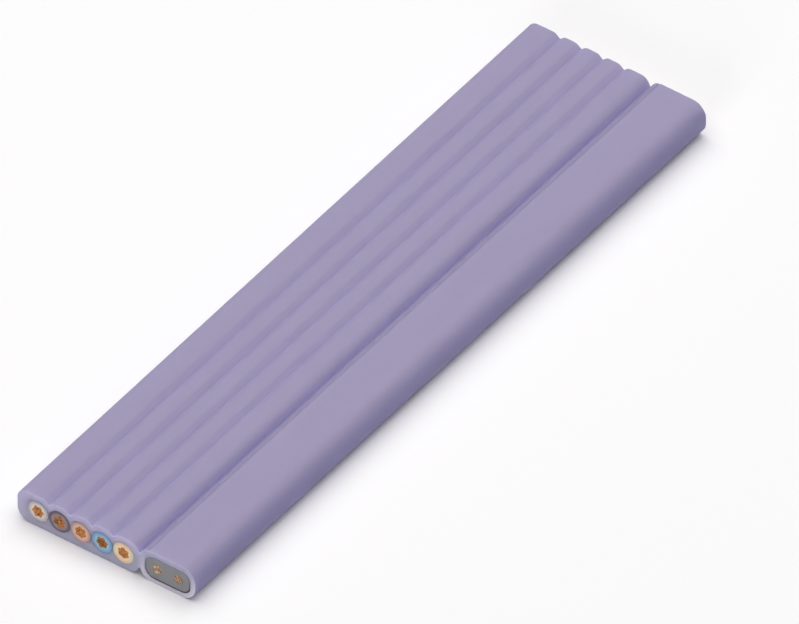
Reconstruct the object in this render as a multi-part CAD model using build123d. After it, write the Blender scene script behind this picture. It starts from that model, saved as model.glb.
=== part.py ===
from build123d import *
import math
import os

# Flat hybrid cable, one straight length cut square at both ends.
# A soft sheath holds a power section of five insulated cores side by side and, past a thin web,
# a bus section: a flat body with two stranded conductors, wrapped in a thin tape.
# X runs across the cable, Y along it and Z up. The cable lies on Z = 0, with X = 0 at the middle
# of its width and Y = 0 at the middle of its length.

# Length of the piece
cable_length = 125.0

# Stranded copper: one middle strand with a ring of six round it
ring_strands = 6
power_strand_d = 0.67
bus_strand_d = 0.52
strand_gap = 0.01

# Layers that fit inside each other
fit_gap = 0.02
valley_r = 0.1
insulation_wall = 0.79
tape_wall = 0.2

# Power cores from left to right, each with the angle of its first strand at the near end
power_cores = [
    ("grey", 4.0),
    ("black", 22.0),
    ("brown", 41.0),
    ("blue", 13.0),
    ("green_yellow", 33.0),
]

# Bus body: the margins lie between a conductor and the body's surface
bus_conductors = [("left", 18.0), ("right", 47.0)]
bus_pitch = 3.7
bus_side_margin = 1.175
bus_top_margin = 1.08
bus_bottom_margin = 1.08
bus_body_r = 1.4

# Sheath walls round the power cores
left_wall = 1.85
rib_wall = 0.11
right_wall = 0.89
bottom_wall = 1.15
top_wall = 0.98

# Sheath walls round the bus body: the one beside the web, and the thinnest of the others
bus_left_wall = 0.87
bus_wall = 0.78

# Outer corners of the sheath. The inner ones lie beside the web: one on either side over it, and two
# alike under it.
top_left_r = 1.75
bottom_left_r = 2.3
power_inner_r = 1.7
bus_inner_r = 1.95
bottom_inner_r = 2.05
bus_outer_r = 2.4

# Grooves on top, one between each two power cores
groove_half_width = 0.85
groove_depth = 0.75
groove_crest_r = 1.1
groove_root_r = 0.15

# Web that joins the two sections. The notches over and under it have round roots, which are
# wider than the web by root_spread on each side.
web_width = 0.17
root_spread = 0.09

# Fine score line along the bus section's top edge
score_offset = 1.44
score_half_width = 0.15
score_depth = 0.14

# Corners are rounded to at most this share of the height that they stand on
corner_share = 0.49

# How near a corner of the outline lies to the place worked out for it
corner_reach = 0.01


def bundle_d(strand_d):
    """Opening across a bundle of seven strands, with its fit."""
    return 3 * strand_d + 2 * strand_gap + 2 * fit_gap


# Power section, worked out across the width from its left edge
power_core_d = bundle_d(power_strand_d) + 2 * insulation_wall
core_bore_d = power_core_d + 2 * fit_gap
core_pitch = core_bore_d + rib_wall
core_span = (len(power_cores) - 1) * core_pitch
power_width = left_wall + core_bore_d + core_span + right_wall
power_height = bottom_wall + core_bore_d + top_wall
core_z = bottom_wall + core_bore_d / 2

# Bus section
bus_body_width = bus_pitch + bundle_d(bus_strand_d) + 2 * bus_side_margin
bus_body_height = bus_bottom_margin + bundle_d(bus_strand_d) + bus_top_margin
body_r = min(bus_body_r, corner_share * bus_body_height)
tape_width = bus_body_width + 2 * (fit_gap + tape_wall)
tape_height = bus_body_height + 2 * (fit_gap + tape_wall)
cavity_width = tape_width + 2 * fit_gap
cavity_height = tape_height + 2 * fit_gap
bus_width = bus_left_wall + cavity_width + bus_wall

# Both sections are as thick as the one that needs more
thickness = max(power_height, cavity_height + 2 * bus_wall)
largest_r = corner_share * thickness

# Places across the width
cable_width = power_width + web_width + bus_width
left_edge = -cable_width / 2
first_core_x = left_edge + left_wall + core_bore_d / 2
power_right = left_edge + power_width
bus_left = power_right + web_width
bus_right = bus_left + bus_width
bus_x = bus_left + bus_left_wall + cavity_width / 2
bus_z = thickness / 2
conductor_z = bus_z + (bus_bottom_margin - bus_top_margin) / 2

# The near cut faces -Y. Sections are drawn in X and Z and run from it to the far cut.
near_cut = Plane(origin=(0, -cable_length / 2, 0), x_dir=(1, 0, 0), z_dir=(0, -1, 0))


def straight(section):
    """A section drawn in X and Z, run straight along the cable."""
    return extrude(near_cut * section, amount=-cable_length)


def block(left, right, radii):
    """Rounded block on Z = 0, with radii from the bottom left corner round to the top left."""
    corners = [(left, 0), (right, 0), (right, thickness), (left, thickness)]
    outline = FilletPolyline(*corners, radius=[min(r, largest_r) for r in radii], close=True)
    return make_face(outline)


def touching(left, right, root_r, side):
    """Middle of the circle of radius root_r that touches two circles (x, z, r) from between them.
    Side is 1 for the one over them and -1 for the one under them."""
    x, z, left_r = left
    dx, dz = right[0] - x, right[1] - z
    span = math.hypot(dx, dz)
    left_reach = left_r + root_r
    right_reach = right[2] + root_r
    along = (left_reach**2 - right_reach**2 + span**2) / (2 * span)
    rise = side * math.sqrt(left_reach**2 - along**2)
    return x + (along * dx - rise * dz) / span, z + (along * dz + rise * dx) / span


def web():
    """Web between the two sections. Each notch's root is an arc that meets both corners smoothly."""
    root_r = web_width / 2 + root_spread
    power_top, bus_top, bottom = [min(r, largest_r) for r in (power_inner_r, bus_inner_r, bottom_inner_r)]
    top_left = (power_right - power_top, thickness - power_top, power_top)
    top_right = (bus_left + bus_top, thickness - bus_top, bus_top)
    bottom_left = (power_right - bottom, bottom, bottom)
    bottom_right = (bus_left + bottom, bottom, bottom)
    over = touching(top_left, top_right, root_r, 1)
    under = touching(bottom_left, bottom_right, root_r, -1)
    corners = [under, bottom_left[:2], top_left[:2], over, top_right[:2], bottom_right[:2]]
    face = make_face(Polyline(*corners, close=True))
    return face - Pos(*over) * Circle(root_r) - Pos(*under) * Circle(root_r)


def cut_triangle(x, bottom_z, slope):
    """Point-down triangle from bottom_z to over the cable. Slope is its half width by its depth."""
    top_z = 2 * thickness
    half_top = slope * (top_z - bottom_z)
    return make_face(Polyline((x - half_top, top_z), (x, bottom_z), (x + half_top, top_z), close=True))


def corner_at(section, x, z):
    """The outline's corner at the point (x, z)."""
    return [v for v in section.vertices() if math.hypot(v.X - x, v.Y - z) < corner_reach]


def grooved(section):
    """The section with a rounded groove over each rib between two power cores."""
    root_z = thickness - groove_depth
    for index in range(len(power_cores) - 1):
        x = first_core_x + (index + 0.5) * core_pitch
        section -= cut_triangle(x, root_z, groove_half_width / groove_depth)
        section = fillet(corner_at(section, x, root_z), groove_root_r)
        for crest_x in (x - groove_half_width, x + groove_half_width):
            section = fillet(corner_at(section, crest_x, thickness), groove_crest_r)
    return section


def bus_top_z(offset):
    """Height of the bus section's outline, offset from its left side."""
    corner_r = min(bus_inner_r, largest_r)
    inside = max(corner_r - offset, 0)
    return thickness - corner_r + math.sqrt(corner_r**2 - inside**2)


def scored(section):
    """The section with the score line cut square into the bus section's left corner."""
    root_z = bus_top_z(score_offset) - score_depth
    return section - cut_triangle(bus_left + score_offset, root_z, score_half_width / score_depth)


def sheath_outline():
    """Outer outline of the sheath: both sections, the web, the grooves and the score line."""
    power = block(left_edge, power_right, [bottom_left_r, bottom_inner_r, power_inner_r, top_left_r])
    bus = block(bus_left, bus_right, [bottom_inner_r, bus_outer_r, bus_outer_r, bus_inner_r])
    return scored(grooved(power + bus + web()))


def sheath():
    """The sheath, with a round bore for each core and a flat cavity for the bus body."""
    section = sheath_outline()
    for index in range(len(power_cores)):
        section -= Pos(first_core_x + index * core_pitch, core_z) * Circle(core_bore_d / 2)
    cavity_r = body_r + tape_wall + 2 * fit_gap
    section -= Pos(bus_x, bus_z) * RectangleRounded(cavity_width, cavity_height, cavity_r)
    return straight(section)


def strand_centres(strand_d, first_angle):
    """Centres of a bundle's strands round (0, 0): the middle one, then its ring."""
    ring_r = strand_d + strand_gap
    centres = [(0.0, 0.0)]
    for index in range(ring_strands):
        angle = math.radians(first_angle + 360.0 * index / ring_strands)
        centres.append((ring_r * math.cos(angle), ring_r * math.sin(angle)))
    return centres


def bundle_outline(strand_d, first_angle):
    """Lobed opening that a bundle fills, with its valleys rounded."""
    lobe_r = strand_d / 2 + fit_gap
    ring_r = strand_d + strand_gap
    outline = Circle(ring_r * math.cos(math.pi / ring_strands))
    for x, z in strand_centres(strand_d, first_angle)[1:]:
        outline += Pos(x, z) * Circle(lobe_r)
    return fillet(outline.vertices(), valley_r)


def strands(strand_d, first_angle, x, z):
    """The copper strands of one bundle round (x, z)."""
    centres = strand_centres(strand_d, first_angle)
    return [straight(Pos(x + dx, z + dz) * Circle(strand_d / 2)) for dx, dz in centres]


def insulation(first_angle, x, z):
    """Insulation of one power core. Its bore follows the lobes of the strands."""
    section = Circle(power_core_d / 2) - bundle_outline(power_strand_d, first_angle)
    return straight(Pos(x, z) * section)


def bus_conductor_x(index):
    """Middle of a bus conductor, counted from the left."""
    return bus_x + (index - (len(bus_conductors) - 1) / 2) * bus_pitch


def bus_body():
    """Flat body with a lobed bore for each bus conductor."""
    section = Pos(bus_x, bus_z) * RectangleRounded(bus_body_width, bus_body_height, body_r)
    for index, (_, first_angle) in enumerate(bus_conductors):
        section -= Pos(bus_conductor_x(index), conductor_z) * bundle_outline(bus_strand_d, first_angle)
    return straight(section)


def bus_tape():
    """Thin tape closed round the bus body."""
    inner_r = body_r + fit_gap
    ring = RectangleRounded(tape_width, tape_height, inner_r + tape_wall)
    ring -= RectangleRounded(tape_width - 2 * tape_wall, tape_height - 2 * tape_wall, inner_r)
    return straight(Pos(bus_x, bus_z) * ring)


def save(name, shape):
    """Write one piece to its own file."""
    export_step(shape, f"parts/{name}.step")


os.makedirs("parts", exist_ok=True)
save("sheath", sheath())
save("bus_tape", bus_tape())
save("bus_body", bus_body())

for index, (colour, first_angle) in enumerate(power_cores):
    x = first_core_x + index * core_pitch
    save(f"core_{colour}_insulation", insulation(first_angle, x, core_z))
    for number, strand in enumerate(strands(power_strand_d, first_angle, x, core_z), start=1):
        save(f"core_{colour}_strand_{number}", strand)

for index, (side, first_angle) in enumerate(bus_conductors):
    x = bus_conductor_x(index)
    for number, strand in enumerate(strands(bus_strand_d, first_angle, x, conductor_z), start=1):
        save(f"bus_{side}_strand_{number}", strand)

print(f"width {cable_width:.2f}  thickness {thickness:.2f}  length {cable_length:.2f}")
print(f"core pitch {core_pitch:.2f}  first core x {first_core_x:.3f}  core z {core_z:.3f}")
print(f"bus body {bus_body_width:.2f} x {bus_body_height:.2f} at x {bus_x:.3f}")
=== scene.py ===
import bpy
import math
import numpy as np
from mathutils import Matrix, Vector
from mathutils.geometry import delaunay_2d_cdt


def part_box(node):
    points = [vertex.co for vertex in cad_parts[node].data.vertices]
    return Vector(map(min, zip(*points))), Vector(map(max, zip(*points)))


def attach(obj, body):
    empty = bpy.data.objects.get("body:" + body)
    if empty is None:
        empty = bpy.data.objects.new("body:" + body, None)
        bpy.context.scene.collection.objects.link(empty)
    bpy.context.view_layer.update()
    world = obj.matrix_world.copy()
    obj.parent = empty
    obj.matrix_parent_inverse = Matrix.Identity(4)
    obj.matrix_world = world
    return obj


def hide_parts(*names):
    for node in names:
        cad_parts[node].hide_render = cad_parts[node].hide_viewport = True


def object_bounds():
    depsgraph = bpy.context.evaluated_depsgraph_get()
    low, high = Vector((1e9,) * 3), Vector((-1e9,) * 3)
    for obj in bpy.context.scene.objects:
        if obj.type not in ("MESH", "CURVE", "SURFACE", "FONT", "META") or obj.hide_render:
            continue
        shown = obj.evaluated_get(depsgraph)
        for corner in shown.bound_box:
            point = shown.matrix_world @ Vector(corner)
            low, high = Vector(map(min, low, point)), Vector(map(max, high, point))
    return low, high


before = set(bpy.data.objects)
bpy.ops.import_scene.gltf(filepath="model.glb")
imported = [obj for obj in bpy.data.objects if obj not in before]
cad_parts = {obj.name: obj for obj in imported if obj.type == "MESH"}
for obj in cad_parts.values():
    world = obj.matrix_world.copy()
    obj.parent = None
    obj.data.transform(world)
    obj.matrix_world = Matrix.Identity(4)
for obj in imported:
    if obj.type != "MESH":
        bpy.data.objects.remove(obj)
cad_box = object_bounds()

# Copper strands: each conductor is one bare drawn copper wire with six round it, laid side by side.
# The cable was cut with shears, so every wire ends in its own small slanted and scratched face.
# Sizes of the cable are in millimetres, here and below, and MM turns them into metres.
MM = 0.001
NEAR, FAR = (corner.y / MM for corner in cad_box)
POWER_CORES = ["grey", "black", "brown", "blue", "green_yellow"]
BUS_SIDES = ["left", "right"]
STRANDS_IN_BUNDLE = 7
SEED = 26

# Rim is the radius of a piece's cut edges, points are those round a loop, fill is their spacing on the
# cut faces, and stations are the rings along the sides. Proud is how far a cut face stands out of the
# cut plane, slant is its slope, and ripple and wave are the height and length of the blade's ripple.
STRAND_RIM = 0.035
STRAND_POINTS = 36
STRAND_FILL = 0.09
STRAND_STATIONS = 6
STRAND_PROUD = 0.05
STRAND_SLANT = 0.24
STRAND_RIPPLE = 0.004
STRAND_WAVE = 0.11

# How every piece is built. The gap keeps the lattice off the loops, as a share of its spacing, and the
# relief of a cut fades out over RELIEF_FADE along the sides. A swell starts over SWELL_START from each
# cut, and each of its waves has a length and a phase.
RIPPLE_BEND = 0.3
RIM_POINTS = 5
LATTICE_GAP = 0.5
POINT_EPSILON = 1e-7
RELIEF_FADE = 0.8
SWELL_START = 5
SWELL_WAVES = [(2.9, 0.0), (1.7, 1.3)]


def node_section(node):
    """Middle (x, z) and size (x, z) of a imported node's section, in millimetres."""
    low, high = (np.array(corner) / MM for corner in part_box(node))
    return (low + high)[[0, 2]] / 2, (high - low)[[0, 2]]


def circle(centre, radius, count):
    """Closed loop of count points round a centre, anticlockwise: radius times cosine and sine."""
    angle = np.arange(count) * 2 * math.pi / count
    return centre + radius * np.stack([np.cos(angle), np.sin(angle)], axis=1)


def moved_in(loop, depth):
    """The loop moved by depth to its left, which is where the material lies.
    At each point that is along the unit normal between the two runs that meet there."""
    ahead = np.roll(loop, -1, axis=0) - loop
    ahead /= np.linalg.norm(ahead, axis=1, keepdims=True)
    tangent = ahead + np.roll(ahead, 1, axis=0)
    tangent /= np.linalg.norm(tangent, axis=1, keepdims=True)
    return loop + depth * np.stack([-tangent[:, 1], tangent[:, 0]], axis=1)


def is_inside(points, loop):
    """Whether each point lies in the loop: a ray towards +x crosses its runs an odd number of times."""
    x, z = points[:, :1], points[:, 1:]
    x0, z0 = loop.T
    x1, z1 = np.roll(loop, -1, axis=0).T
    spans = (z0 > z) != (z1 > z)
    rise = np.where(z1 == z0, 1, z1 - z0)
    crossing = x0 + (z - z0) * (x1 - x0) / rise
    return (np.sum(spans & (x < crossing), axis=1) % 2).astype(bool)


def filled(loops, spacing):
    """Points and triangles that fill a section between its outer loop and its holes.
    The points are the loops' own and then a lattice with rows in steps, kept off the loops. Every
    triangle turns anticlockwise."""
    outer = loops[0]
    (x_low, z_low), (x_high, z_high) = outer.min(axis=0), outer.max(axis=0)
    row = spacing * math.sqrt(3) / 2
    x, z = np.meshgrid(np.arange(x_low, x_high, spacing), np.arange(z_low, z_high, row))
    x = x + spacing / 2 * (np.arange(len(x))[:, None] % 2)
    lattice = np.stack([x.ravel(), z.ravel()], axis=1)

    def in_section(points, gap):
        kept = is_inside(points, moved_in(outer, gap))
        for hole in loops[1:]:
            kept &= ~is_inside(points, moved_in(hole, gap))
        return kept

    lattice = lattice[in_section(lattice, LATTICE_GAP * spacing)]
    points = np.concatenate([*loops, lattice])
    runs = []
    for loop in loops:
        first = sum(len(run) for run in runs)
        number = np.arange(len(loop))
        runs.append(np.stack([number, (number + 1) % len(loop)], axis=1) + first)
    runs = np.concatenate(runs)
    made = delaunay_2d_cdt(points.tolist(), runs.tolist(), [], 0, POINT_EPSILON)
    origin = np.array([came_from[0] for came_from in made[3]])
    triangles = origin[np.array(made[2])]
    triangles = triangles[in_section(points[triangles].mean(axis=1), 0.0)]
    a, b, c = (points[triangles[:, k]] for k in range(3))
    turn = (b[:, 0] - a[:, 0]) * (c[:, 1] - a[:, 1]) - (b[:, 1] - a[:, 1]) * (c[:, 0] - a[:, 0])
    triangles[turn < 0] = triangles[turn < 0][:, ::-1]
    return points, triangles


def cut_relief(proud, slant=(0.0, 0.0), ripple=0.0, wave=1.0, middle=(0.0, 0.0)):
    """How far a cut face stands out of the cut plane at (x, z): a constant, a slope from the middle,
    and the ripple of a blade, a sine across the face that a second sine bends."""

    def height(points):
        x, z = (points - middle).T
        across = x / wave + RIPPLE_BEND * np.sin(z / wave)
        return proud + slant[0] * x + slant[1] * z + ripple * np.sin(2 * math.pi * across)

    return height


def cut_rings(rim, stations):
    """Depth into the material and place along y of each ring from the near cut to the far one.
    At either end they round the cut edge off over a quarter circle of radius rim: the depth is rim
    times one less sine, and the place is rim times one less cosine in from the cut."""
    turn = np.linspace(0, math.pi / 2, RIM_POINTS)
    depth = np.concatenate([[2 * rim], rim * (1 - np.sin(turn))])
    inset = np.concatenate([[0], rim * (1 - np.cos(turn))])
    between = np.linspace(NEAR + 2 * rim, FAR - 2 * rim, stations)
    depth = np.concatenate([depth, np.zeros(stations), depth[::-1]])
    return depth, np.concatenate([NEAR + inset, between, FAR - inset[::-1]])


def swell_share(y):
    """How far the sides swell along y, from -1 to 1: the mean of slow sines, eased in from the cuts."""
    eased = np.clip(np.minimum(y - NEAR, FAR - y) / SWELL_START, 0, 1)
    return eased * sum(np.sin(y / length + phase) for length, phase in SWELL_WAVES) / len(SWELL_WAVES)


def new_object(name, vertices, faces):
    """Object at the origin with a mesh of these points, in metres, and these faces."""
    mesh = bpy.data.meshes.new(name)
    mesh.from_pydata(vertices.tolist(), [], faces)
    made = bpy.data.objects.new(name, mesh)
    bpy.context.scene.collection.objects.link(made)
    return made


def piece(name, loops, rims, spacing, stations, near, far, swell=0.0):
    """Closed piece with one section from the near cut to the far cut.
    Each loop is carried along y as a grid of rings, with its own rim at the cut edges. The outer one
    also swells, by swell times swell_share. The cut faces are filled triangles, raised by their relief,
    near or far, which fades along the sides."""
    vertices, faces, near_rim, far_rim = [], [], [], []
    first = 0
    for number, (loop, rim) in enumerate(zip(loops, rims)):
        depth, y = cut_rings(rim, stations)
        if number == 0:
            depth = depth - swell * swell_share(y)
        near_share = np.clip(1 - (y - NEAR) / RELIEF_FADE, 0, 1)[:, None]
        far_share = np.clip(1 - (FAR - y) / RELIEF_FADE, 0, 1)[:, None]
        ring = np.stack([moved_in(loop, d) for d in depth])
        rows, columns = ring.shape[:2]
        flat = ring.reshape(-1, 2)
        along = y[:, None] - near_share * near(flat).reshape(rows, columns)
        along = along + far_share * far(flat).reshape(rows, columns)
        vertices.append(np.stack([flat[:, 0], along.ravel(), flat[:, 1]], axis=1))
        index = first + np.arange(rows * columns).reshape(rows, columns)
        ahead = np.roll(index, -1, axis=1)
        quads = np.stack([index[:-1], index[1:], ahead[1:], ahead[:-1]], axis=-1)
        faces += quads.reshape(-1, 4).tolist()
        near_rim.append(index[0])
        far_rim.append(index[-1])
        first += rows * columns

    edges = [moved_in(loop, 2 * rim) for loop, rim in zip(loops, rims)]
    points, triangles = filled(edges, spacing)
    lattice = points[sum(len(edge) for edge in edges):]
    for edge, level, relief, order in (
        (near_rim, NEAR, -near(lattice), slice(None)),
        (far_rim, FAR, far(lattice), slice(None, None, -1)),
    ):
        vertices.append(np.stack([lattice[:, 0], level + relief, lattice[:, 1]], axis=1))
        index = np.concatenate([*edge, first + np.arange(len(lattice))])
        faces += index[triangles][:, order].tolist()
        first += len(lattice)

    made = new_object(name, np.concatenate(vertices) * MM, faces)
    made.data.polygons.foreach_set("use_smooth", np.ones(len(faces), bool))
    made.data.update()
    return made


def finish_piece(made, node, material):
    """Gives a piece its material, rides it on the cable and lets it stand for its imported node."""
    made.data.materials.append(material)
    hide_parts(node)
    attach(made, "root")


def srgb(red, green, blue):
    """Linear colour of a colour given in 0 to 255 display values."""
    value = np.array([red, green, blue]) / 255
    linear = np.where(value <= 0.04045, value / 12.92, ((value + 0.055) / 1.055) ** 2.4)
    return (*linear.tolist(), 1.0)


def add(tree, kind, inputs, **settings):
    """Adds a shader node. Each input takes a value, or a link from another node's socket."""
    made = tree.nodes.new("ShaderNode" + kind)
    for key, value in settings.items():
        setattr(made, key, value)
    for key, value in inputs.items():
        if isinstance(value, bpy.types.NodeSocket):
            tree.links.new(value, made.inputs[key])
        else:
            made.inputs[key].default_value = value
    return made


def compute(tree, operation, *values):
    """Result of one operation on numbers."""
    return add(tree, "Math", dict(enumerate(values)), operation=operation).outputs[0]


def ramp(tree, value, start, end, low=0.0, high=1.0):
    """Number that is low where the value is at start and high at end, even in between and held beyond."""
    return add(tree, "MapRange", {0: value, 1: start, 2: end, 3: low, 4: high}).outputs[0]


def mix(tree, share, first, second):
    """Colour between first and second by share."""
    return add(tree, "Mix", {0: share, 6: first, 7: second}, data_type="RGBA").outputs[2]


def mix_value(tree, share, first, second):
    """Number between first and second by share."""
    return add(tree, "Mix", {0: share, 2: first, 3: second}, data_type="FLOAT").outputs[0]


def object_place(tree):
    """Object coordinates, which are metres in the shared frame."""
    return add(tree, "TexCoord", {}).outputs["Object"]


def noise(tree, place, scale, detail):
    """Noise at a place, with scale grains to the metre."""
    return add(tree, "TexNoise", {"Vector": place, "Scale": scale, "Detail": detail}).outputs[0]


def stretched_noise(tree, size, stretch, detail):
    """Noise on Object coordinates. Size and stretch are the grain's size across and along the cable."""
    scale = (1 / (size * MM), 1 / (stretch * MM), 1 / (size * MM))
    mapped = add(tree, "Mapping", {"Vector": object_place(tree), "Scale": scale}).outputs[0]
    return noise(tree, mapped, 1.0, detail)


def new_group(name, inputs, outputs):
    """Shader node group with named number sockets. Gives back its tree, its input and its output."""
    tree = bpy.data.node_groups.new(name, "ShaderNodeTree")
    for title, value in inputs.items():
        socket = tree.interface.new_socket(title, in_out="INPUT", socket_type="NodeSocketFloat")
        socket.default_value = value
    for title in outputs:
        tree.interface.new_socket(title, in_out="OUTPUT", socket_type="NodeSocketFloat")
    return tree, tree.nodes.new("NodeGroupInput").outputs, tree.nodes.new("NodeGroupOutput").inputs


# The cut reaches CUT_BAND along the sides. The blade's ridges lean by BLADE_TILT degrees and are drawn
# out down z, with a share of round grain in their height and of ridges in their shade.
CUT_BAND = 0.1
BLADE_SPACING = 0.12
BLADE_TILT = 12
BLADE_SQUEEZE = (1, 0, 0.08)
BLADE_GRAIN_SHARE = 0.35
RIDGE_DETAIL = 3.0
GRAIN_DETAIL = 2.0
SHADE_SCALE = 900.0
SHADE_RIDGE_SHARE = 0.4


def cut_end_group():
    """Mask of the cut faces and their rims: 1 where y is within Rim of either end, down to 0 at twice that.
    Edge is the edge that the cut has left: it is 1 at Rim from an end, and 0 at the end and at twice Rim."""
    inputs = {"Half Length": (FAR - NEAR) / 2 * MM, "Rim": CUT_BAND * MM}
    tree, given, out = new_group("Cut end", inputs, ["Mask", "Edge"])
    along = add(tree, "SeparateXYZ", {0: object_place(tree)}).outputs["Y"]
    from_end = compute(tree, "SUBTRACT", given["Half Length"], compute(tree, "ABSOLUTE", along))
    mask = ramp(tree, from_end, given["Rim"], compute(tree, "MULTIPLY", given["Rim"], 2.0), 1.0, 0.0)
    behind = ramp(tree, from_end, 0.0, given["Rim"])
    tree.links.new(mask, out["Mask"])
    tree.links.new(compute(tree, "MULTIPLY", behind, mask), out["Edge"])
    return tree


def blade_marks_group():
    """Marks of a blade on a cut face. Height is fine ridges along the blade's way, which is down z.
    Shade is broad and fine unevenness of the torn surface, between 0 and 1."""
    tree, given, out = new_group("Blade marks", {"Spacing": BLADE_SPACING * MM}, ["Height", "Shade"])
    turn = (0, math.radians(BLADE_TILT), 0)
    turned = add(tree, "Mapping", {"Vector": object_place(tree), "Rotation": turn}).outputs[0]
    squeezed = add(tree, "Mapping", {"Vector": turned, "Scale": BLADE_SQUEEZE}).outputs[0]
    fineness = compute(tree, "DIVIDE", 1.0, given["Spacing"])
    ridges = noise(tree, squeezed, fineness, RIDGE_DETAIL)
    grains = noise(tree, turned, fineness, GRAIN_DETAIL)
    coarse = noise(tree, turned, SHADE_SCALE, GRAIN_DETAIL)
    tree.links.new(mix_value(tree, BLADE_GRAIN_SHARE, ridges, grains), out["Height"])
    tree.links.new(mix_value(tree, SHADE_RIDGE_SHARE, coarse, ridges), out["Shade"])
    return tree


# Each conductor's copper has a sheared and a shaded colour, and each bundle its own mean tone between
# them. The bundle tones are painted shade: some conductors are painted darker, as they look in shade,
# and each wire's tone also differs at random. EDGE_SHADE is painted shade towards each wire's edge,
# where shade falls between the wires. A range gives the two values of noise between which an effect
# changes. The drawn lines have a size across and along the wire, and a detail.
CUT_END = cut_end_group()
BLADE_MARKS = blade_marks_group()
COPPER_DRAWN = srgb(196, 118, 70)
POWER_COPPER = (srgb(220, 154, 92), srgb(118, 68, 32))
BUS_COPPER = (srgb(222, 187, 154), srgb(142, 105, 82))
POWER_TONE = {"grey": 0.72, "black": 0.58, "brown": 0.72, "blue": 0.5, "green_yellow": 0.76}
BUS_TONE = {"left": 0.75, "right": 0.7}
BUNDLE_TONE = POWER_TONE | BUS_TONE
TONE_SPREAD = 0.16
EDGE_SHADE = 0.45
NOISE_RANGE = (0.3, 0.7)
DULL_RANGE = (0.35, 0.7)
COPPER_DULL = 0.45
COPPER_ROUGHNESS = (0.3, 0.5)
COPPER_LINES = (0.03, 6.0, 2.0)
COPPER_BLADE_SPACING = 0.06
COPPER_BUMP = 0.6
COPPER_DEPTH = 0.02


def new_material(name):
    """Material with a Principled shader and its output. Gives back the material, tree and shader."""
    material = bpy.data.materials.new(name)
    material.use_nodes = True
    tree = material.node_tree
    tree.nodes.clear()
    shader = add(tree, "BsdfPrincipled", {})
    add(tree, "OutputMaterial", {"Surface": shader.outputs[0]})
    return material, tree, shader


def connect(tree, shader, **sockets):
    """Links sockets to the shader's inputs, with _ in an input's name for a space."""
    for name, socket in sockets.items():
        tree.links.new(socket, shader.inputs[name.replace("_", " ")])


def bump(tree, height, strength, depth, **below):
    """Normal of a surface with this height, of strength times depth in millimetres."""
    inputs = {"Height": height, "Strength": strength, "Distance": depth * MM, **below}
    return add(tree, "Bump", inputs).outputs[0]


def copper(name, sheared, shaded):
    """Bare copper: drawn lines along the wire, and a brighter scratched face at each cut. There it goes
    from the shaded colour to the sheared one by the wire's own tone attribute, which holds painted shade."""
    material, tree, shader = new_material(name)
    cut = add(tree, "Group", {}, node_tree=CUT_END).outputs["Mask"]
    blade = add(tree, "Group", {"Spacing": COPPER_BLADE_SPACING * MM}, node_tree=BLADE_MARKS).outputs
    tone = add(tree, "Attribute", {}, attribute_name="tone").outputs["Fac"]
    base = mix(tree, cut, COPPER_DRAWN, mix(tree, tone, shaded, sheared))
    dull = ramp(tree, blade["Shade"], *DULL_RANGE, COPPER_DULL, 0.0)
    height = mix_value(tree, cut, stretched_noise(tree, *COPPER_LINES), blade["Height"])
    connect(
        tree,
        shader,
        Base_Color=mix(tree, dull, base, shaded),
        Roughness=ramp(tree, blade["Shade"], *NOISE_RANGE, *COPPER_ROUGHNESS),
        Normal=bump(tree, height, COPPER_BUMP, COPPER_DEPTH),
    )
    shader.inputs["Metallic"].default_value = 1.0
    return material


def paint_tone(strand, centre, radius, tone):
    """Stores the wire's tone at each vertex, with painted shade: it falls towards the wire's edge, where
    shade falls between the wires, by EDGE_SHADE times the fourth power of the share of the radius."""
    mesh = strand.data
    place = np.empty(3 * len(mesh.vertices))
    mesh.vertices.foreach_get("co", place)
    from_axis = np.linalg.norm(place.reshape(-1, 3)[:, [0, 2]] / MM - centre, axis=1)
    shade = np.clip(tone * (1 - EDGE_SHADE * (from_axis / radius) ** 4), 0, 1)
    mesh.attributes.new("tone", "FLOAT", "POINT").data.foreach_set("value", shade)


rng = np.random.default_rng(SEED)
power_copper = copper("power_copper", *POWER_COPPER)
bus_copper = copper("bus_copper", *BUS_COPPER)
bundles = [("core", colour, power_copper) for colour in POWER_CORES]
bundles += [("bus", side, bus_copper) for side in BUS_SIDES]
for kind, which, material in bundles:
    bundle = f"{kind}_{which}"
    for number in range(1, STRANDS_IN_BUNDLE + 1):
        node = f"{bundle}_strand_{number}"
        centre, size = node_section(node)
        cuts = [
            cut_relief(
                rng.uniform(-STRAND_PROUD, STRAND_PROUD),
                slant=rng.uniform(-STRAND_SLANT, STRAND_SLANT, 2),
                ripple=STRAND_RIPPLE,
                wave=STRAND_WAVE,
                middle=centre,
            )
            for _ in range(2)
        ]
        loop = circle(centre, size[0] / 2, STRAND_POINTS)
        name = f"{bundle}_wire_{number}"
        strand = piece(name, [loop], [STRAND_RIM], STRAND_FILL, STRAND_STATIONS, *cuts)
        # Painted shade: each wire takes its bundle's tone with a random spread, darkened towards its edge.
        tone = BUNDLE_TONE[which] + rng.uniform(-TONE_SPREAD, TONE_SPREAD)
        paint_tone(strand, centre, size[0] / 2, tone)
        finish_piece(strand, node, material)


# Core insulation: a coloured tube of smooth plastic, pressed on round the copper while soft, so that
# its bore follows the strands. The cut leaves it dull, and it springs back a little round the copper.
BORE_GAP = 0.02
VALLEY_R = 0.1
BORE_RIM = 0.02
INSULATION_RIM = 0.05
INSULATION_POINTS = 216
INSULATION_FILL = 0.16
INSULATION_STATIONS = 12
INSULATION_PROUD = {"grey": 0.05, "black": 0.03, "brown": 0.06, "blue": 0.04, "green_yellow": 0.05}
INSULATION_SLANT = 0.02
INSULATION_RIPPLE = 0.008
INSULATION_WAVE = 0.5


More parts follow.
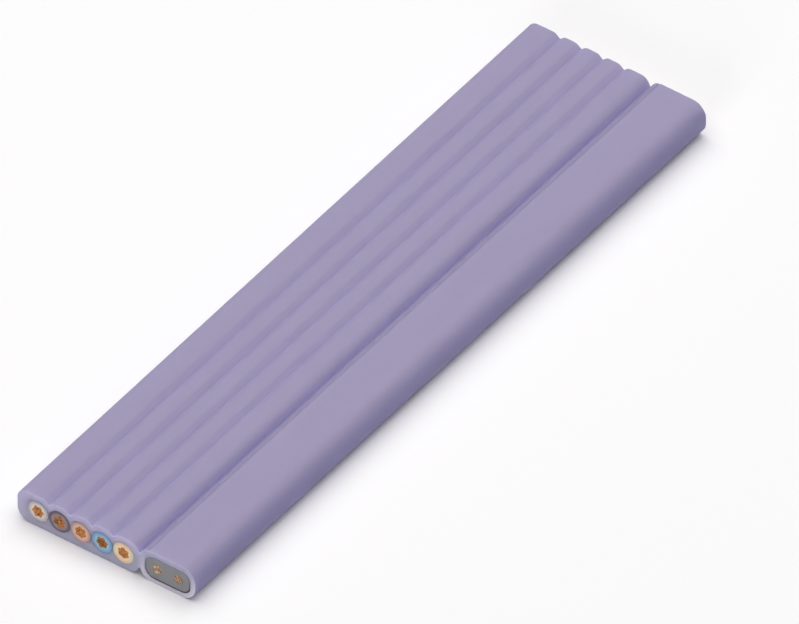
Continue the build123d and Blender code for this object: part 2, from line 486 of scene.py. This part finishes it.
def bundle_bore(bundle, count):
    """Closed loop of count points round a bundle, clockwise, with a lobe over each strand.
    In the direction of a strand the distance from the middle is that of its circle's far side. In the
    valley between two strands it is that of a small circle's near side, which touches both."""
    middle, size = node_section(f"{bundle}_strand_1")
    first, _ = node_section(f"{bundle}_strand_2")
    ring_r = np.linalg.norm(first - middle)
    lobe_r = size[0] / 2 + BORE_GAP
    half = math.pi / (STRANDS_IN_BUNDLE - 1)
    start = math.atan2(first[1] - middle[1], first[0] - middle[0])
    angle = start - np.arange(count) * 2 * math.pi / count
    from_strand = np.abs((angle - start + half) % (2 * half) - half)
    from_valley = half - from_strand
    lobe = ring_r * np.cos(from_strand)
    lobe = lobe + np.sqrt(np.maximum(lobe_r**2 - (ring_r * np.sin(from_strand)) ** 2, 0))
    past_strands = math.sqrt((lobe_r + VALLEY_R) ** 2 - (ring_r * math.sin(half)) ** 2)
    valley_d = ring_r * math.cos(half) + past_strands
    valley = valley_d * np.cos(from_valley)
    valley = valley - np.sqrt(np.maximum(VALLEY_R**2 - (valley_d * np.sin(from_valley)) ** 2, 0))
    share = VALLEY_R / (lobe_r + VALLEY_R)
    touch_x = valley_d + share * (ring_r * math.cos(half) - valley_d)
    touch_z = share * ring_r * math.sin(half)
    reach = np.where(from_valley < math.atan2(touch_z, touch_x), valley, lobe)
    return middle + reach[:, None] * np.stack([np.cos(angle), np.sin(angle)], axis=1)


# Die lines, die grain and colour clouds are noises, each with its size across and along the cable and
# its detail. Depths are heights of the bumps at full strength. The mottling leads towards DARKER_TONE
# times the cut's colour. A painted highlight along the cut's rim leads its edge towards white, by the
# last share below.
DIE_LINES = (0.22, 500.0, 2.0)
DIE_GRAIN = (0.12, 0.16, 2.0)
DIE_LINE_SHARE = 0.6
DIE_BUMP = 0.5
DIE_DEPTH = 0.012
COLOUR_CLOUDS = (3.0, 14.0, 3.0)
SHEEN_SPREAD = 0.05
CUT_ROUGHNESS = 0.6
CUT_BUMP = 0.7
CUT_DEPTH = 0.03
DARKER_TONE = 0.4
HIGHLIGHT_WHITENESS = 0.45


def extrusion_lines_group():
    """Marks that a die leaves on plastic. Height is fine lines along the cable over a soft grain.
    Mottle is cloudy unevenness of the colour, drawn out along the cable, between 0 and 1."""
    tree, given, out = new_group("Extrusion lines", {"Line Share": DIE_LINE_SHARE}, ["Height", "Mottle"])
    lines = stretched_noise(tree, *DIE_LINES)
    grain = stretched_noise(tree, *DIE_GRAIN)
    tree.links.new(mix_value(tree, given["Line Share"], grain, lines), out["Height"])
    tree.links.new(stretched_noise(tree, *COLOUR_CLOUDS), out["Mottle"])
    return tree


EXTRUSION_LINES = extrusion_lines_group()


def plastic(name, side, cut, side_rough, shade=0.1, gloss=0.4, depth=(0.4, 0.4, 0.4), edge=0.1, paint=None):
    """Extruded plastic with its own side and cut colours. Shade is how far the mottling darkens them.
    Depth is how far red, green and blue light spread inside, in millimetres, and edge how far a painted
    highlight whitens the cut's edge. Paint, if given, takes the tree and the two colours and gives back
    the two colours to mix."""
    material, tree, shader = new_material(name)
    mask, highlight_band = add(tree, "Group", {}, node_tree=CUT_END).outputs
    blade = add(tree, "Group", {}, node_tree=BLADE_MARKS).outputs
    die = add(tree, "Group", {}, node_tree=EXTRUSION_LINES).outputs
    darker = (*(DARKER_TONE * c for c in cut[:3]), 1.0)
    # Painted highlight: the colour that the cut's edge is mixed towards.
    highlight = (*(HIGHLIGHT_WHITENESS + (1 - HIGHLIGHT_WHITENESS) * c for c in cut[:3]), 1.0)
    if paint:
        side, cut = paint(tree, side, cut)
    cloud = mix_value(tree, mask, die["Mottle"], blade["Shade"])
    mottled = mix(tree, ramp(tree, cloud, *NOISE_RANGE, shade, 0.0), mix(tree, mask, side, cut), darker)
    rough = mix_value(tree, mask, side_rough, CUT_ROUGHNESS)
    sheen = ramp(tree, cloud, *NOISE_RANGE, -SHEEN_SPREAD, SHEEN_SPREAD)
    die_normal = bump(tree, die["Height"], DIE_BUMP, DIE_DEPTH)
    cut_bump = mix_value(tree, mask, 0.0, CUT_BUMP)
    # The base colour takes the painted highlight along the cut's edge.
    connect(
        tree,
        shader,
        Base_Color=mix(tree, compute(tree, "MULTIPLY", highlight_band, edge), mottled, highlight),
        Roughness=compute(tree, "ADD", rough, sheen),
        Normal=bump(tree, blade["Height"], cut_bump, CUT_DEPTH, Normal=die_normal),
    )
    shader.inputs["Specular IOR Level"].default_value = gloss
    shader.subsurface_method = "BURLEY"
    shader.inputs["Subsurface Weight"].default_value = 1.0
    shader.inputs["Subsurface Radius"].default_value = depth
    shader.inputs["Subsurface Scale"].default_value = MM
    return material


# Each core has a colour outside, one on the cut and a paler one on the cut beside the copper, which
# fades between two shares of the radius. The stripe's edge fades between two directions in degrees.
INSULATION_ROUGHNESS = 0.3
INSULATION_COLOURS = {
    "grey": (srgb(176, 174, 172), srgb(168, 168, 180), srgb(224, 205, 196)),
    "black": (srgb(38, 36, 42), srgb(96, 82, 92), srgb(156, 134, 138)),
    "brown": (srgb(142, 88, 66), srgb(174, 140, 142), srgb(224, 184, 162)),
    "blue": (srgb(70, 140, 200), srgb(110, 154, 202), srgb(158, 188, 200)),
    "green_yellow": (srgb(226, 196, 84), srgb(216, 190, 164), srgb(245, 210, 180)),
}
INNER_REACH = (0.62, 0.9)
GREEN = srgb(96, 158, 84)
GREEN_CUT = srgb(200, 214, 176)
STRIPE_EDGE = (30, 42)


def around_axis(tree, middle):
    """Distance from the axis at middle (x, z) and direction there, from 0 on the x axis to a right
    angle on the z axis, as sockets."""
    offset = (-middle[0] * MM, 0, -middle[1] * MM)
    centred = add(tree, "Mapping", {"Vector": object_place(tree), "Location": offset}).outputs[0]
    x, _, z = add(tree, "SeparateXYZ", {0: centred}).outputs
    x, z = (compute(tree, "ABSOLUTE", part) for part in (x, z))
    flat = add(tree, "CombineXYZ", {"X": x, "Z": z}).outputs[0]
    distance = add(tree, "VectorMath", {0: flat}, operation="LENGTH").outputs["Value"]
    return distance, compute(tree, "ARCTAN2", z, x)


def core_paint(node, inner, striped):
    """Paint for one core. On the cut the colour is paler beside the copper than in the skin. A striped
    core is green where the direction from its middle is within about 35 degrees of the x axis."""

    def paint(tree, side, cut):
        middle, size = node_section(node)
        distance, direction = around_axis(tree, middle)
        if striped:
            stripe = ramp(tree, direction, *(math.radians(edge) for edge in STRIPE_EDGE), 1.0, 0.0)
            side = mix(tree, stripe, side, GREEN)
            cut = mix(tree, stripe, cut, GREEN_CUT)
        near, far = (share * size[0] / 2 * MM for share in INNER_REACH)
        return side, mix(tree, ramp(tree, distance, near, far, 1.0, 0.0), cut, inner)

    return paint


for colour in POWER_CORES:
    node = f"core_{colour}_insulation"
    centre, size = node_section(node)
    outside = circle(centre, size[0] / 2, INSULATION_POINTS)
    loops = [outside, bundle_bore(f"core_{colour}", INSULATION_POINTS)]
    cuts = [
        cut_relief(
            INSULATION_PROUD[colour],
            slant=slant,
            ripple=INSULATION_RIPPLE,
            wave=INSULATION_WAVE,
            middle=centre,
        )
        for slant in rng.uniform(-INSULATION_SLANT, INSULATION_SLANT, (2, 2))
    ]
    rims = [INSULATION_RIM, BORE_RIM]
    tube = piece(f"{colour}_tube", loops, rims, INSULATION_FILL, INSULATION_STATIONS, *cuts)
    side, cut, inner = INSULATION_COLOURS[colour]
    paint = core_paint(node, inner, colour == "green_yellow")
    material = plastic(f"insulation_{colour}", side, cut, INSULATION_ROUGHNESS, paint=paint)
    finish_piece(tube, node, material)


# Bus body: soft grey filler pressed round both bus conductors to make one flat core.
# It keeps them at their distance, and the cut leaves it matt with fine blade marks.
BUS_BODY_R = 1.4
BODY_RIM = 0.06
BODY_FILL = 0.16
BODY_STATIONS = 12
BODY_PROUD = (-0.02, 0.01)
BODY_RIPPLE = 0.01
BODY_WAVE = 0.7
BODY_ROUGHNESS = 0.5
BODY_GREY = srgb(112, 114, 118)
BODY_CUT = srgb(131, 131, 135)

# Outlines have points a step apart on straight runs and a share of it on arcs. Points that lie nearer
# than another share of it are one point.
OUTLINE_STEP = 0.16
ARC_STEP_SHARE = 0.6
ARC_POINTS = 5
SAME_POINT_SHARE = 0.01


def outline(rows, step):
    """Closed loop through arcs, in order, joined by straight runs.
    Each row is an arc's middle x and z, its radius, and its first and last direction in degrees. Points
    lie evenly on each arc, less those that repeat where two arcs touch, and each straight run is divided
    into equal parts no longer than step."""
    arcs = []
    for x, z, radius, first, last in rows:
        length = radius * abs(math.radians(last - first))
        count = 1 if radius == 0 else max(ARC_POINTS, math.ceil(length / (ARC_STEP_SHARE * step)))
        angle = np.radians(np.linspace(first, last, count))
        arcs.append(np.stack([x + radius * np.cos(angle), z + radius * np.sin(angle)], axis=1))
    corners = np.concatenate(arcs)
    ahead = np.roll(corners, -1, axis=0) - corners
    corners = corners[np.linalg.norm(ahead, axis=1) > SAME_POINT_SHARE * step]
    ahead = np.roll(corners, -1, axis=0) - corners
    parts = np.ceil(np.linalg.norm(ahead, axis=1) / step).astype(int)
    start = np.repeat(np.arange(len(corners)), parts)
    passed = np.arange(len(start)) - np.repeat(np.cumsum(parts) - parts, parts)
    return corners[start] + ahead[start] * (passed / parts[start])[:, None]


def rounded_box(centre, size, radius, step):
    """Closed loop round a rectangle with rounded corners, anticlockwise: a quarter arc at each corner."""
    x, z = size / 2 - radius
    rows = [(-x, -z, 180), (x, -z, 270), (x, z, 0), (-x, z, 90)]
    return outline([(centre[0] + dx, centre[1] + dz, radius, a, a + 90) for dx, dz, a in rows], step)


body_centre, body_size = node_section("bus_body")
loops = [rounded_box(body_centre, body_size, BUS_BODY_R, OUTLINE_STEP)]
loops += [bundle_bore(f"bus_{side}", INSULATION_POINTS) for side in BUS_SIDES]
cuts = [cut_relief(proud, ripple=BODY_RIPPLE, wave=BODY_WAVE, middle=body_centre) for proud in BODY_PROUD]
rims = [BODY_RIM, BORE_RIM, BORE_RIM]
body = piece("bus_filler", loops, rims, BODY_FILL, BODY_STATIONS, *cuts)
finish_piece(body, "bus_body", plastic("bus_body", BODY_GREY, BODY_CUT, BODY_ROUGHNESS))


# Bus tape: a thin dark tape closed round the bus body, so that the sheath doesn't stick to it.
# The cut shows its edge as a thin dark line between the body and the sheath.
TAPE_WALL = 0.2
TAPE_GAP = 0.02
TAPE_RIM = 0.03
TAPE_FILL = 0.1
TAPE_STATIONS = 12
TAPE_PROUD = (-0.05, -0.02)
TAPE_ROUGHNESS = 0.5
TAPE_DARK = srgb(56, 52, 62)
TAPE_CUT = srgb(42, 36, 52)
# The next colour is painted light on the tape's cut edge, paler towards its top.
TAPE_CUT_LIT = srgb(190, 189, 232)

tape_centre, tape_size = node_section("bus_tape")
tape_inner_r = BUS_BODY_R + TAPE_GAP


def tape_paint(tree, side, cut):
    """Painted light: the tape's dark cut edge is painted paler towards the top, by the square of the share
    of the height."""
    height = add(tree, "SeparateXYZ", {0: object_place(tree)}).outputs["Z"]
    bottom, top = ((tape_centre[1] + end * tape_size[1] / 2) * MM for end in (-1, 1))
    lit_share = compute(tree, "POWER", ramp(tree, height, bottom, top), 2.0)
    return side, mix(tree, lit_share, cut, TAPE_CUT_LIT)


outside = rounded_box(tape_centre, tape_size, tape_inner_r + TAPE_WALL, OUTLINE_STEP)
inside = rounded_box(tape_centre, tape_size - 2 * TAPE_WALL, tape_inner_r, OUTLINE_STEP)[::-1]
cuts = [cut_relief(proud) for proud in TAPE_PROUD]
tape = piece("tape_wrap", [outside, inside], [TAPE_RIM, TAPE_RIM], TAPE_FILL, TAPE_STATIONS, *cuts)
material = plastic("tape", TAPE_DARK, TAPE_CUT, TAPE_ROUGHNESS, edge=0.0, paint=tape_paint)
finish_piece(tape, "bus_tape", material)


# Sheath: soft lilac plastic, pressed through one die round the cores and the bus body together.
# The die gives it the grooves, the thin web between the sections and the score line of the bus edge.
TOP_LEFT_R = 1.75
BOTTOM_LEFT_R = 2.3
POWER_INNER_R = 1.7
BUS_INNER_R = 1.95
BOTTOM_INNER_R = 2.05
BUS_OUTER_R = 2.4
WEB_WIDTH = 0.17
ROOT_SPREAD = 0.09
BUS_LEFT_WALL = 0.87
GROOVE_HALF_WIDTH = 0.85
GROOVE_DEPTH = 0.75
GROOVE_CREST_R = 1.1
GROOVE_ROOT_R = 0.15
SCORE_OFFSET = 1.44
SCORE_HALF_WIDTH = 0.15
SCORE_DEPTH = 0.14
FIT_GAP = 0.02
SHEATH_RIM = 0.09
SHEATH_BORE_RIM = 0.02
SHEATH_FILL = 0.2
SHEATH_STATIONS = 110
SHEATH_SLANTS = [(0.001, 0.006), (-0.001, -0.004)]
SHEATH_RIPPLE = 0.012
SHEATH_WAVE = 1.6
SHEATH_SWELL = 0.003
SHEATH_SHADE = 0.06
SHEATH_ROUGHNESS = 0.6
SHEATH_GLOSS = 0.08
SHEATH_EDGE_HIGHLIGHT = 0.03
SHEATH_DEPTH = (1.85, 1.85, 2.0)
LILAC = srgb(160, 152, 184)
LILAC_CUT = srgb(172, 166, 196)
LOW_CUT = srgb(171, 170, 193)
BUS_CUT = srgb(164, 161, 188)
# Painted light: the bus section's lower cut wall is painted much paler than the rest of the cut.
LOW_BUS_CUT_LIT = srgb(215, 210, 227)
# Painted shade: the flanks below the tops are painted in this darker, bluer lilac, as they look in shade.
# LILAC_SHADE is painted shade for the creases.
LILAC_FLANK_SHADE = srgb(152, 147, 188)
LILAC_SHADE = srgb(104, 99, 127)

# Marks are painted shade in the sheath's colour, where shade falls in the creases: the groove roots,
# the score line, the notch at the web and the bus section's left corner. Each number is the share of
# LILAC_SHADE there. A band gives how far from its middle a mark is full, and where it ends. Heights give
# where along z a colour or mark begins and where it is full.
NOTCH_SHADE = 0.28
NOTCH_BAND = (0.5, 1.0)
NOTCH_HEIGHTS = (5.0, 4.2)
CORNER_SHADE = 0.36
CORNER_BAND = (0.2, BUS_INNER_R)
SCORE_SHADE = 0.55
SCORE_BAND = (0.08, 0.28)
GROOVE_SHADE = 0.13
GROOVE_BAND = (0.15, 0.45)
GROOVE_SHIFT = 0.08
FLANK_SHADE_HEIGHTS = (5.5, 4.4)
LOW_CUT_HEIGHTS = (5.0, 0.5)
BUS_BLEND = 0.4

(sheath_x, sheath_z), (cable_width, thickness) = node_section("sheath")
left_edge, right_edge = sheath_x - cable_width / 2, sheath_x + cable_width / 2
cavity_size = tape_size + 2 * FIT_GAP
bus_left = tape_centre[0] - cavity_size[0] / 2 - BUS_LEFT_WALL
power_right = bus_left - WEB_WIDTH
core_centres = [node_section(f"core_{colour}_insulation")[0] for colour in POWER_CORES]
groove_middles = [(a[0] + b[0]) / 2 for a, b in zip(core_centres[:-1], core_centres[1:])]


def notch_rows(left_r, right_r, side):
    """The two corner arcs and the root arc of a notch at the web, from left to right.
    Side is -1 for the notch under the web and 1 for the one over it. The root's middle lies where its
    circle touches both corner circles: the three middles make a triangle whose sides are known."""
    root_r = WEB_WIDTH / 2 + ROOT_SPREAD
    left, right = (
        np.array([x, r if side < 0 else thickness - r])
        for x, r in ((power_right - left_r, left_r), (bus_left + right_r, right_r))
    )
    span = np.linalg.norm(right - left)
    along = ((left_r + root_r) ** 2 - (right_r + root_r) ** 2 + span**2) / (2 * span)
    rise = side * math.sqrt((left_r + root_r) ** 2 - along**2)
    ahead = (right - left) / span
    root = left + along * ahead + rise * np.array([-ahead[1], ahead[0]])
    from_left = math.degrees(math.atan2(*(root - left)[::-1]))
    from_right = math.degrees(math.atan2(*(root - right)[::-1])) % 360
    turn = 360 if side > 0 else 0
    return [
        (*left, left_r, side * 90, from_left),
        (*root, root_r, 180 + from_left, from_right - 180 + turn),
        (*right, right_r, from_right, 180 - side * 90),
    ]


def groove_rows(x):
    """A rounded groove at x, from right to left: its right crest, its root and its left crest."""
    slope = math.degrees(math.atan2(GROOVE_DEPTH, GROOVE_HALF_WIDTH))
    crest_x = GROOVE_HALF_WIDTH + GROOVE_CREST_R * math.tan(math.radians(slope / 2))
    crest_z = thickness - GROOVE_CREST_R
    root_z = thickness - GROOVE_DEPTH + GROOVE_ROOT_R / math.cos(math.radians(slope))
    return [
        (x + crest_x, crest_z, GROOVE_CREST_R, 90, 90 + slope),
        (x, root_z, GROOVE_ROOT_R, slope - 90, -slope - 90),
        (x - crest_x, crest_z, GROOVE_CREST_R, 90 - slope, 90),
    ]


def scored(row):
    """The bus section's top left arc, parted where the score line is cut into it, from right to left."""
    x, z, radius, first, last = row

    def direction(offset):
        return math.degrees(math.acos((offset - radius) / radius))

    middle = math.radians(direction(SCORE_OFFSET))
    point = (x + radius * math.cos(middle), z + radius * math.sin(middle) - SCORE_DEPTH, 0, 0, 0)
    right = (x, z, radius, first, direction(SCORE_OFFSET + SCORE_HALF_WIDTH))
    left = (x, z, radius, direction(SCORE_OFFSET - SCORE_HALF_WIDTH), last)
    return [right, point, left]


def back_row(row):
    """The same arc, run the other way."""
    x, z, radius, first, last = row
    return (x, z, radius, last, first)


def sheath_outline():
    """Outer loop of the sheath, anticlockwise from its bottom left corner."""
    over_left, over_root, over_right = notch_rows(POWER_INNER_R, BUS_INNER_R, 1)
    rows = [(left_edge + BOTTOM_LEFT_R, BOTTOM_LEFT_R, BOTTOM_LEFT_R, 180, 270)]
    rows += notch_rows(BOTTOM_INNER_R, BOTTOM_INNER_R, -1)
    rows += [(right_edge - BUS_OUTER_R, BUS_OUTER_R, BUS_OUTER_R, -90, 0)]
    rows += [(right_edge - BUS_OUTER_R, thickness - BUS_OUTER_R, BUS_OUTER_R, 0, 90)]
    rows += scored(back_row(over_right))
    rows += [back_row(over_root), back_row(over_left)]
    for middle in reversed(groove_middles):
        rows += groove_rows(middle)
    rows += [(left_edge + TOP_LEFT_R, thickness - TOP_LEFT_R, TOP_LEFT_R, 90, 180)]
    return outline(rows, OUTLINE_STEP)


def band(tree, value, middle, full, end):
    """1 where a value lies within full of the middle, down to 0 at end from it, in millimetres."""
    distance = compute(tree, "ABSOLUTE", compute(tree, "SUBTRACT", value, middle * MM))
    return ramp(tree, distance, full * MM, end * MM, 1.0, 0.0)


def sheath_paint(tree, side, cut):
    """Painted shade and light. The flanks below the tops are painted a darker, bluer lilac as painted
    shade. The roots of the grooves, the score line, the notch at the web and the bus section's left corner
    get painted shade. The cut goes from one colour at the top to another at the bottom, in the power
    section and round the bus body, with painted light on the bus section's lower wall."""
    x, _, z = add(tree, "SeparateXYZ", {0: object_place(tree)}).outputs
    below, deep, low = (
        ramp(tree, z, begin * MM, full * MM)
        for begin, full in (FLANK_SHADE_HEIGHTS, NOTCH_HEIGHTS, LOW_CUT_HEIGHTS)
    )
    on_bus = ramp(tree, x, (bus_left - BUS_BLEND) * MM, (bus_left + BUS_BLEND) * MM)
    notch = compute(tree, "MULTIPLY", band(tree, x, bus_left - WEB_WIDTH / 2, *NOTCH_BAND), deep)
    corner = compute(tree, "MULTIPLY", band(tree, x, bus_left, *CORNER_BAND), on_bus)
    score = band(tree, x, bus_left + SCORE_OFFSET, *SCORE_BAND)
    marks = [(notch, NOTCH_SHADE), (corner, CORNER_SHADE), (score, SCORE_SHADE)]
    for middle in groove_middles:
        marks.append((band(tree, x, middle + GROOVE_SHIFT, *GROOVE_BAND), GROOVE_SHADE))
    # Painted shade: the flanks below the tops are mixed towards the darker, bluer lilac.
    side = mix(tree, below, side, LILAC_FLANK_SHADE)
    # Painted shade in the creases: the notch, the bus corner, the score line and the groove roots.
    for where, share in marks:
        side = mix(tree, compute(tree, "MULTIPLY", where, share), side, LILAC_SHADE)
    # The cut's colour from top to bottom, with painted light on the bus section's lower wall.
    cut = mix(tree, on_bus, mix(tree, low, cut, LOW_CUT), mix(tree, low, BUS_CUT, LOW_BUS_CUT_LIT))
    return side, cut


loops = [sheath_outline()]
for centre, colour in zip(core_centres, POWER_CORES):
    _, size = node_section(f"core_{colour}_insulation")
    loops.append(circle(centre, size[0] / 2 + FIT_GAP, INSULATION_POINTS)[::-1])
loops.append(rounded_box(tape_centre, cavity_size, tape_inner_r + TAPE_WALL + FIT_GAP, OUTLINE_STEP)[::-1])
cuts = [
    cut_relief(0.0, slant=slant, ripple=SHEATH_RIPPLE, wave=SHEATH_WAVE, middle=(sheath_x, sheath_z))
    for slant in SHEATH_SLANTS
]
rims = [SHEATH_RIM] + [SHEATH_BORE_RIM] * (len(loops) - 1)
sheath = piece("sheath_extrusion", loops, rims, SHEATH_FILL, SHEATH_STATIONS, *cuts, swell=SHEATH_SWELL)
material = plastic(
    "sheath",
    LILAC,
    LILAC_CUT,
    SHEATH_ROUGHNESS,
    shade=SHEATH_SHADE,
    gloss=SHEATH_GLOSS,
    depth=SHEATH_DEPTH,
    edge=SHEATH_EDGE_HIGHLIGHT,
    paint=sheath_paint,
)
finish_piece(sheath, "sheath", material)


# Stage: a plain pale floor under the cable, with a pale surround. Neither is part of the cable.
# What the camera sees of them is lifted to white, and the shadow stays. The floor's reach, the lamps'
# distances and sizes and the camera's distance and clip are in metres.
FLOOR_REACH = 2.0
FLOOR_WHITE = (0.95, 0.94, 0.947, 1.0)
FLOOR_CLOUDS = (400.0, 400.0, 2.0)
FLOOR_CLOUD_TONE = 0.995
FLOOR_ROUGHNESS = 0.9
FLOOR_LIFT = 0.043
WORLD_LIGHT = (1.0, 1.0, 1.0, 1.0)
WORLD_STRENGTH = 0.02
BACKDROP_WHITE = (0.985, 0.98, 0.985, 1.0)


def seen_share(tree):
    """1 for rays from the camera, mirror rays and rays through clear matter, and 0 for others."""
    path = add(tree, "LightPath", {}).outputs
    share = path["Is Camera Ray"]
    for name in ("Is Glossy Ray", "Is Transmission Ray"):
        share = compute(tree, "MAXIMUM", share, path[name])
    return share


floor_corners = FLOOR_REACH * np.array([(-1, -1, 0), (1, -1, 0), (1, 1, 0), (-1, 1, 0)])
floor = new_object("floor", floor_corners, [(0, 1, 2, 3)])
floor_material, tree, shader = new_material("floor")
cloud_tone = (*(FLOOR_CLOUD_TONE * c for c in FLOOR_WHITE[:3]), 1.0)
connect(
    tree,
    shader,
    Base_Color=mix(tree, stretched_noise(tree, *FLOOR_CLOUDS), FLOOR_WHITE, cloud_tone),
    Emission_Strength=compute(tree, "MULTIPLY", seen_share(tree), FLOOR_LIFT),
)
shader.inputs["Emission Color"].default_value = (1, 1, 1, 1)
shader.inputs["Roughness"].default_value = FLOOR_ROUGHNESS
shader.inputs["Specular IOR Level"].default_value = 0.0
floor.data.materials.append(floor_material)

world = bpy.data.worlds.new("surround")
bpy.context.scene.world = world
world.use_nodes = True
tree = world.node_tree
tree.nodes.clear()
seen = seen_share(tree)
colour = mix(tree, seen, WORLD_LIGHT, BACKDROP_WHITE)
strength = mix_value(tree, seen, WORLD_STRENGTH, 1.0)
surround = add(tree, "Background", {"Color": colour, "Strength": strength})
add(tree, "OutputWorld", {"Surface": surround.outputs[0]})


# Studio light: one very large soft lamp nearly overhead, tilted from the back left, which lays a soft
# shadow on the floor along the right and front edges, and a weaker, slightly warm one low in front,
# which lights the cut face.


def view_axes(azimuth, elevation):
    """Right, up and back directions of a lamp or camera that looks at the cable. It stands back from it
    at azimuth degrees from the front towards the right, and elevation degrees above the floor."""
    a, e = math.radians(azimuth), math.radians(elevation)
    right = np.array([math.cos(a), math.sin(a), 0])
    back = np.array([math.sin(a) * math.cos(e), -math.cos(a) * math.cos(e), math.sin(e)])
    return right, np.cross(back, right), back


def stood(name, data, place, axes):
    """Object with a lamp's or camera's data, at a place and turned to its axes."""
    made = bpy.data.objects.new(name, data)
    matrix = np.eye(4)
    matrix[:3] = np.stack([*axes, place], axis=1)
    made.matrix_world = Matrix(matrix.tolist())
    bpy.context.scene.collection.objects.link(made)
    return made


def lamp(name, azimuth, elevation, distance, size, power, tint):
    """Square area lamp at a direction and distance from the cable's middle, turned to face it."""
    light = bpy.data.lights.new(name, "AREA")
    light.shape = "SQUARE"
    light.size = size
    light.energy = power
    light.color = tint
    axes = view_axes(azimuth, elevation)
    stood(name, light, distance * axes[-1], axes)


lamp("key", azimuth=-135, elevation=78, distance=1.3, size=2.1, power=28.3, tint=(1.0, 1.0, 1.0))
lamp("fill", azimuth=14, elevation=14, distance=1.6, size=0.7, power=7.9, tint=(1.0, 0.985, 0.95))


# Camera: a parallel view from the front right, above the cut face, as in the photograph. Its aim is so
# many millimetres to the right and up, as the view goes, from the near left corner of the underside.
CAMERA_AZIMUTH = 36.08
CAMERA_ELEVATION = 41.73
CAMERA_DISTANCE = 0.5
CAMERA_CLIP = 0.01
PIXELS_PER_MM = 6.95
FRAME_PIXELS = 799
VIEW_FROM_CORNER = (54.99, 29.50)

right, up, back = view_axes(CAMERA_AZIMUTH, CAMERA_ELEVATION)
near_corner = np.array([left_edge, NEAR, 0])
aim = (near_corner + VIEW_FROM_CORNER[0] * right + VIEW_FROM_CORNER[1] * up) * MM
camera_data = bpy.data.cameras.new("camera")
camera_data.type = "ORTHO"
camera_data.ortho_scale = FRAME_PIXELS / PIXELS_PER_MM * MM
camera_data.clip_start = CAMERA_CLIP
bpy.context.scene.camera = stood("camera", camera_data, aim + CAMERA_DISTANCE * back, (right, up, back))
bpy.context.scene.view_settings.view_transform = "Standard"
